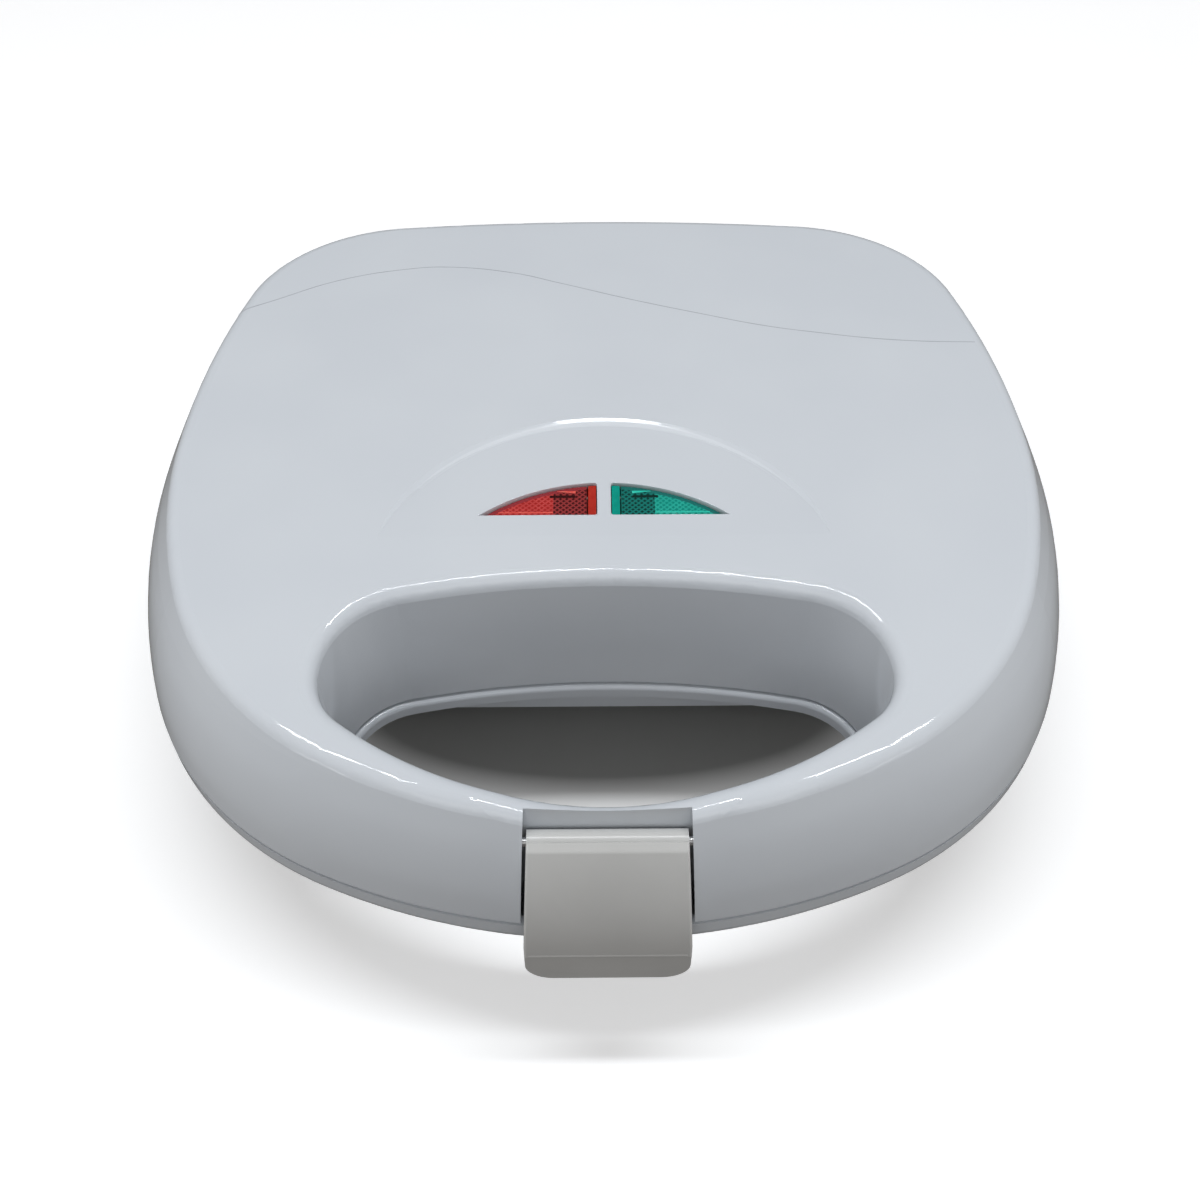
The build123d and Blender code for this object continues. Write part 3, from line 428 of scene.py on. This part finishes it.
lamp_place = shade_start + shade_length / 2
finishes = {
    "shell": gloss_white(),
    "latch": satin_grey(),
    "frame": dark_frame_plastic(),
    "plate": non_stick_coat(),
    "element": metal("element_sheath", (0.16, 0.14, 0.12), (0.30, 0.27, 0.23),
                     0.35, 0.55, 3 * mm, (1, 1, 1)),
    "sheet": metal("plated_sheet", (0.55, 0.55, 0.54), (0.72, 0.72, 0.71),
                   0.25, 0.4, 2 * mm, (0.1, 1, 1)),
    "steel": metal("drawn_steel", (0.5, 0.5, 0.5), (0.66, 0.66, 0.65),
                   0.2, 0.35, 0.5 * mm, (0.1, 1, 1)),
    "screw": metal("zinc_plate", (0.48, 0.49, 0.5), (0.68, 0.68, 0.66),
                   0.25, 0.45, 1 * mm, (1, 1, 1)),
    "red_lens": clear_tint("red_clear_plastic", (0.45, 0.02, 0.02), (0.35, 0.015, 0.015)),
    "green_lens": clear_tint("green_clear_plastic", (0.0, 0.30, 0.24), (0.0, 0.24, 0.18)),
    # Prism colours: lighter lines as painted light, and a darker line and field as painted shade
    # over the lamp
    "red_prisms": prism_tint("red_prisms", (0.66, 0.08, 0.075), (0.42, 0.020, 0.018),
                             (0.34, 0.045, 0.045), (0.04, 0.003, 0.005), (0.33, 0.04, 0.05),
                             -lamp_place),
    "green_prisms": prism_tint("green_prisms", (0.03, 0.50, 0.39), (0.002, 0.27, 0.21),
                               (0.01, 0.21, 0.175), (0.001, 0.028, 0.022),
                               (0.015, 0.17, 0.15), lamp_place),
    "red_strip": tinted("red_strip", (0.48, 0.030, 0.018), (0.55, 0.04, 0.024), 0.15),
    "green_strip": tinted("green_strip", (0.002, 0.32, 0.24), (0.004, 0.38, 0.29), 0.15),
    # Slot, glint and edge-line colours: painted shade and painted highlights
    "red_slot": tinted("red_slot", (0.012, 0.002, 0.002), (0.02, 0.003, 0.003), 0.5),
    "green_slot": tinted("green_slot", (0.002, 0.008, 0.007), (0.003, 0.014, 0.012), 0.5),
    "red_glint": tinted("red_glint", (0.85, 0.10, 0.08), (0.95, 0.16, 0.12), 0.2),
    "green_glint": tinted("green_glint", (0.03, 0.66, 0.50), (0.06, 0.78, 0.60), 0.2),
    "crown_line": crown_line_shade(),
    "inner_plastic": plain_plastic("natural_moulding", (0.62, 0.6, 0.55), (0.72, 0.7, 0.65), 0.5),
    "gland": plain_plastic("gland_moulding", (0.70, 0.71, 0.73), (0.78, 0.79, 0.81), 0.4),
    "lamp": lamp_glass(),
    "foot": rubber(),
    "ceramic_part": plain_plastic("glazed_ceramic", (0.70, 0.68, 0.62), (0.80, 0.78, 0.72), 0.25),
    "fuse": metal("fuse_case", (0.55, 0.55, 0.53), (0.7, 0.7, 0.68),
                  0.25, 0.4, 1 * mm, (0.1, 1, 1)),
}
slot_of = {part["node"]: part["material_slot"] for part in frame["record"]["subparts"]}


def deselect():
    """Leaves no object selected."""
    for thing in bpy.context.selected_objects:
        thing.select_set(False)


def pick(thing):
    """Makes one object the selected and active one."""
    deselect()
    thing.select_set(True)
    bpy.context.view_layer.objects.active = thing


def dress(thing, finish):
    """Gives an object one finish all over."""
    thing.data.materials.clear()
    thing.data.materials.append(finishes[finish])


def smooth(thing, angle):
    """Smooth shading with edges sharper than the angle left crisp."""
    pick(thing)
    bpy.ops.object.shade_smooth_by_angle(angle=radians(angle))


def settle(thing, name, body, finish):
    """Names a finished piece, puts its place into its mesh and lets it ride on its body."""
    pick(thing)
    bpy.ops.object.transform_apply(location=True, rotation=True, scale=True)
    thing.name = name
    thing.data.name = name
    dress(thing, finish)
    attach(thing, body)
    return thing


def dress_nodes():
    """Gives every construction node its finish."""
    for name, thing in frame["nodes"].items():
        dress(thing, slot_of[name])


def cut(thing, tool, operation):
    """Cuts one closed mesh with another, which is used up."""
    pick(thing)
    bpy.ops.object.modifier_add(type="BOOLEAN")
    modifier = thing.modifiers[-1]
    modifier.operation = operation
    modifier.solver = "EXACT"
    modifier.object = tool
    bpy.ops.object.modifier_apply(modifier=modifier.name)
    bpy.data.objects.remove(tool)


def closed_outwards():
    """Merges doubles and turns every face of the mesh in edit mode outwards."""
    bpy.ops.mesh.select_all(action="SELECT")
    bpy.ops.mesh.remove_doubles(threshold=weld)
    bpy.ops.mesh.normals_make_consistent(inside=False)


def slice_off(place, normal):
    """Cuts away what lies behind a plane from the mesh in edit mode, and closes it."""
    bpy.ops.mesh.select_all(action="SELECT")
    bpy.ops.mesh.bisect(plane_co=place, plane_no=normal, use_fill=True, clear_inner=True)


class Window:
    """Plan of one lens window, from its construction node."""

    def __init__(self, side):
        self.side = side
        self.colour = "red" if side < 0 else "green"
        self.node = self.colour + "_lens"
        low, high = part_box(self.node)
        self.inner = min(abs(low.x), abs(high.x)) + lens_flange + lens_gap
        self.flat = low.y + lens_flange + lens_gap
        self.middle = high.y - lens_flange - lens_radius
        self.rear = high.y - lens_flange
        self.top = high.z
        self.tip = sqrt(lens_radius ** 2 - (self.flat - self.middle) ** 2)

    def block(self, low, high, inner, shrink, front):
        """Closed block with the window's plan, drawn in at its arc and its front edge."""
        deselect()
        bpy.ops.mesh.primitive_cylinder_add(vertices=lens_steps, radius=lens_radius - shrink,
                                            depth=high - low,
                                            location=(0, self.middle, (low + high) / 2))
        block = bpy.context.object
        bpy.ops.object.mode_set(mode="EDIT")
        slice_off((self.side * inner, 0, 0), (self.side, 0, 0))
        slice_off((0, self.flat + front, 0), (0, 1, 0))
        closed_outwards()
        bpy.ops.object.mode_set(mode="OBJECT")
        return block


def on_net(x, y):
    """Middle of the cell nearest to a point, in the diagonal net of the prisms."""
    across = round((x - y) / sqrt(2) / prism_pitch) * prism_pitch
    along = round((x + y) / sqrt(2) / prism_pitch) * prism_pitch
    return (across + along) / sqrt(2), (along - across) / sqrt(2)


def lens_prisms(window):
    """Field of small pyramids moulded into the underside of a lens, seen through its face."""
    top = window.top - lens_cover
    inner = window.inner + light_strip + strip_gap
    middle = window.side * (inner + window.tip) / 2
    reach = (window.tip - inner + window.rear - window.flat) / sqrt(2)
    count = 2 * round(reach / prism_pitch / 2) + 1
    deselect()
    place = on_net(middle, (window.flat + window.rear) / 2)
    bpy.ops.mesh.primitive_grid_add(x_subdivisions=count, y_subdivisions=count,
                                    size=count * prism_pitch, location=(*place, top),
                                    rotation=(0, 0, pi / 4))
    field = bpy.context.object
    bpy.ops.object.mode_set(mode="EDIT")
    bpy.ops.mesh.select_all(action="SELECT")
    bpy.ops.mesh.poke(offset=-prism_height)
    bpy.ops.mesh.select_all(action="SELECT")
    bpy.ops.mesh.extrude_region_move(TRANSFORM_OT_translate={"value": (0, 0, -prism_floor)})
    bpy.ops.transform.resize(value=(1, 1, 0), center_override=(0, 0, top - prism_floor))
    closed_outwards()
    bpy.ops.object.mode_set(mode="OBJECT")
    plan = window.block(top - 2 * prism_floor, top + prism_floor, inner,
                        lens_side_gap, lens_front_gap)
    cut(field, plan, "INTERSECT")
    return settle(field, window.colour + "_prisms", "lid", window.colour + "_prisms")


def lens_strip(window):
    """Smooth clear strip at the inner end of a lens."""
    top = window.top - lens_cover
    strip = window.block(top - prism_floor, top + strip_rise, window.inner + lens_gap,
                         lens_side_gap + lens_gap, lens_front_gap)
    bpy.ops.object.mode_set(mode="EDIT")
    slice_off((window.side * (window.inner + light_strip), 0, 0), (-window.side, 0, 0))
    closed_outwards()
    bpy.ops.mesh.select_all(action="SELECT")
    bpy.ops.mesh.bevel(offset=strip_bevel, segments=2, affect="EDGES")
    bpy.ops.object.mode_set(mode="OBJECT")
    return settle(strip, window.colour + "_strip", "lid", window.colour + "_strip")


def lens_bar(window, name, start, length, set_back, width, taper, finish):
    """Slim bar in a lens along its flat front edge, narrowed at its outer end by the taper."""
    top = window.top - lens_cover + slot_rise
    deselect()
    middle = (window.side * (start + length / 2), window.flat + set_back, top - prism_floor / 2)
    bpy.ops.mesh.primitive_cube_add(size=1, location=middle, scale=(length, width, prism_floor))
    bar = bpy.context.object
    pick(bar)
    bpy.ops.object.transform_apply(location=True, rotation=True, scale=True)
    bpy.ops.object.mode_set(mode="EDIT")
    bpy.ops.mesh.select_all(action="DESELECT")
    bpy.ops.mesh.select_mode(type="VERT")
    bpy.ops.object.mode_set(mode="OBJECT")
    outer = window.side * (start + length)
    for vertex in bar.data.vertices:
        vertex.select = abs(vertex.co.x - outer) < lens_gap
    bpy.ops.object.mode_set(mode="EDIT")
    rear = window.flat + set_back + width / 2
    bpy.ops.transform.resize(value=(1, 1 - taper, 1), center_override=(outer, rear, top))
    bpy.ops.mesh.select_all(action="SELECT")
    bpy.ops.mesh.bevel(offset=slot_rise, segments=2, affect="EDGES")
    closed_outwards()
    bpy.ops.object.mode_set(mode="OBJECT")
    return settle(bar, window.colour + name, "lid", window.colour + finish)


def lens_lamp(window):
    """Dark slot over the lamp as painted shade, and the glint behind it and the bright line along
    the front edge as painted highlights.
    """
    outer = shade_start + shade_length
    # Painted shade: a near-black bar where the lamp's slot lies in shade
    lens_bar(window, "_lamp_slot", slot_start, slot_length, slot_set_back, slot_width,
             0.0, "_slot")
    # Painted highlight: a bright bar for the light on the lamp glass
    lens_bar(window, "_lamp_glint", glint_start, glint_length, glint_set_back, glint_width,
             glint_taper, "_glint")
    # Painted highlight: a bright bar for the light on the lens's front edge
    lens_bar(window, "_edge_highlight", outer, window.tip - outer - edge_highlight_end,
             edge_highlight_set_back, edge_highlight_width, 0.0, "_glint")


def beaded(thing, radius):
    """Makes a closed round bead along the loose edges of a mesh."""
    pick(thing)
    bpy.ops.object.convert(target="CURVE")
    thing = bpy.context.object
    thing.data.bevel_depth = radius
    thing.data.bevel_resolution = 2
    thing.data.use_fill_caps = True
    bpy.ops.object.convert(target="MESH")
    thing = bpy.context.object
    smooth(thing, 60.0)
    return thing


def drop_on_crown(thing, sunk):
    """Drops the points of a mesh straight down onto the lid, and a little into it."""
    pick(thing)
    bpy.ops.object.modifier_add(type="SHRINKWRAP")
    wrap = thing.modifiers[-1]
    wrap.target = frame["nodes"]["upper_housing"]
    wrap.wrap_method = "PROJECT"
    wrap.use_project_z = True
    wrap.use_negative_direction = True
    wrap.use_positive_direction = False
    bpy.ops.object.modifier_apply(modifier=wrap.name)
    bpy.ops.object.mode_set(mode="EDIT")
    bpy.ops.mesh.select_all(action="SELECT")
    bpy.ops.transform.translate(value=(0, 0, -sunk))
    bpy.ops.object.mode_set(mode="OBJECT")


def crown_line():
    """Fine line that waves across the crown from side to side."""
    curve = bpy.data.curves.new("crown_line", "CURVE")
    curve.dimensions = "3D"
    curve.resolution_u = wave_steps
    spline = curve.splines.new("BEZIER")
    spline.bezier_points.add(len(wave_line) - 1)
    for point, (x, y) in zip(spline.bezier_points, wave_line):
        point.co = (x * mm, y * mm + row_shift, drop_height)
        point.handle_left_type = "AUTO"
        point.handle_right_type = "AUTO"
    line = bpy.data.objects.new("crown_line", curve)
    bpy.context.scene.collection.objects.link(line)
    pick(line)
    bpy.ops.object.convert(target="MESH")
    line = bpy.context.object
    drop_on_crown(line, wave_sunk)
    return settle(beaded(line, wave_bead), "crown_line", "lid", "crown_line")


def window_rim(window):
    """Fine rounded edge of a lens window in the shell."""
    block = window.block(drop_height, drop_height + prism_floor, window.inner - rim_bead,
                         -rim_bead, -rim_bead)
    bpy.ops.object.mode_set(mode="EDIT")
    bpy.ops.mesh.select_mode(type="FACE")
    bpy.ops.mesh.select_all(action="DESELECT")
    bpy.ops.object.mode_set(mode="OBJECT")
    for face in block.data.polygons:
        face.select = face.normal.z < 0.5
    bpy.ops.object.mode_set(mode="EDIT")
    bpy.ops.mesh.delete(type="FACE")
    bpy.ops.mesh.select_all(action="SELECT")
    bpy.ops.mesh.delete(type="ONLY_FACE")
    bpy.ops.object.mode_set(mode="OBJECT")
    drop_on_crown(block, rim_sunk)
    return settle(beaded(block, rim_bead), window.colour + "_window_rim", "lid", "shell")


def latch_crease():
    """Rounded edge along the latch's crease, above its lip."""
    deselect()
    bpy.ops.mesh.primitive_cylinder_add(vertices=crease_steps, radius=crease_radius,
                                        depth=crease_length, location=(0, *crease_place),
                                        rotation=(0, pi / 2, 0))
    edge = bpy.context.object
    bpy.ops.object.mode_set(mode="EDIT")
    bpy.ops.mesh.select_mode(type="EDGE")
    bpy.ops.mesh.select_all(action="DESELECT")
    bpy.ops.object.mode_set(mode="OBJECT")
    for line in edge.data.edges:
        first, second = (edge.data.vertices[number].co.z for number in line.vertices)
        line.select = first * second > 0
    bpy.ops.object.mode_set(mode="EDIT")
    bpy.ops.mesh.bevel(offset=crease_radius / 2, segments=4, affect="EDGES")
    bpy.ops.object.mode_set(mode="OBJECT")
    smooth(edge, 60.0)
    return settle(edge, "latch_crease_edge", "latch", "latch")


def floor():
    """Pale floor with a painted shadow: a darker ellipse under the body, where it does not glow.
    """
    bpy.ops.mesh.primitive_plane_add(size=floor_size)
    plane = bpy.context.object
    plane.name = "floor"
    finish = Finish("floor_paper", 0.9)
    paper = finish.clouded(finish.noise(floor_grain, 2.0), *floor_shades)
    path = finish.nodes.new("ShaderNodeLightPath")
    seen = path.outputs["Is Camera Ray"]
    # Painted shadow: darker paper and no glow in an ellipse under the body
    clear = finish.spread(finish.reach((0, shade_middle), shade_stretch), 0, 1, *shade_fade)
    finish.colour(finish.mix(seen, floor_bounce, finish.mix(clear, painted_floor_shadow, paper)))
    set_socket(finish.shader, "Specular IOR Level", 0.0)
    glow = finish.mix(seen, (0, 0, 0), finish.mix(clear, (0, 0, 0), (1, 1, 1)))
    finish.links.new(glow, finish.shader.inputs["Emission Color"])
    set_socket(finish.shader, "Emission Strength", floor_glow)
    plane.data.materials.append(finish.material)


def soft_light(name, place, target, size_x, size_y, power, mirrored):
    """Rectangular studio light that faces a point."""
    data = bpy.data.lights.new(name, "AREA")
    data.shape = "RECTANGLE"
    data.size = size_x
    data.size_y = size_y
    data.energy = power
    lamp = bpy.data.objects.new(name, data)
    bpy.context.scene.collection.objects.link(lamp)
    lamp.location = place
    lamp.rotation_mode = "QUATERNION"
    lamp.rotation_quaternion = (Vector(target) - Vector(place)).to_track_quat("-Z", "Y")
    lamp.visible_glossy = mirrored
    return lamp


def studio():
    """Soft studio light and a pale room."""
    world = bpy.data.worlds.new("room")
    bpy.context.scene.world = world
    world.use_nodes = True
    nodes = world.node_tree.nodes
    links = world.node_tree.links
    background = nodes["Background"]
    background.inputs["Color"].default_value = (*room_colour, 1)
    height = nodes.new("ShaderNodeSeparateXYZ")
    room = nodes.new("ShaderNodeTexCoord")
    links.new(room.outputs["Generated"], height.inputs["Vector"])
    rise = nodes.new("ShaderNodeMapRange")
    rise.inputs["To Min"].default_value = room_low
    rise.inputs["To Max"].default_value = room_high
    links.new(height.outputs["Z"], rise.inputs["Value"])
    links.new(rise.outputs["Result"], background.inputs["Strength"])
    lamps = [soft_light(*row) for row in lights]
    lamps[0].data.color = overhead_colour


def photo_camera():
    """Camera at the photograph's viewing angle."""
    data = bpy.data.cameras.new("photo_camera")
    data.lens = view_lens
    data.sensor_width = sensor_width
    data.shift_x = view_shift_x
    camera = bpy.data.objects.new("photo_camera", data)
    bpy.context.scene.collection.objects.link(camera)
    level = cos(view_elevation)
    back = Vector((sin(view_turn) * level, -cos(view_turn) * level, sin(view_elevation)))
    camera.location = view_target + view_distance * back
    camera.rotation_mode = "QUATERNION"
    camera.rotation_quaternion = (-back).to_track_quat("-Z", "Y")
    bpy.context.scene.camera = camera


photo_camera()
studio()
floor()
bpy.context.scene.view_settings.view_transform = "Standard"
dress_nodes()
for window in (Window(-1), Window(1)):
    lens_prisms(window)
    lens_strip(window)
    lens_lamp(window)
    window_rim(window)
crown_line()
latch_crease()
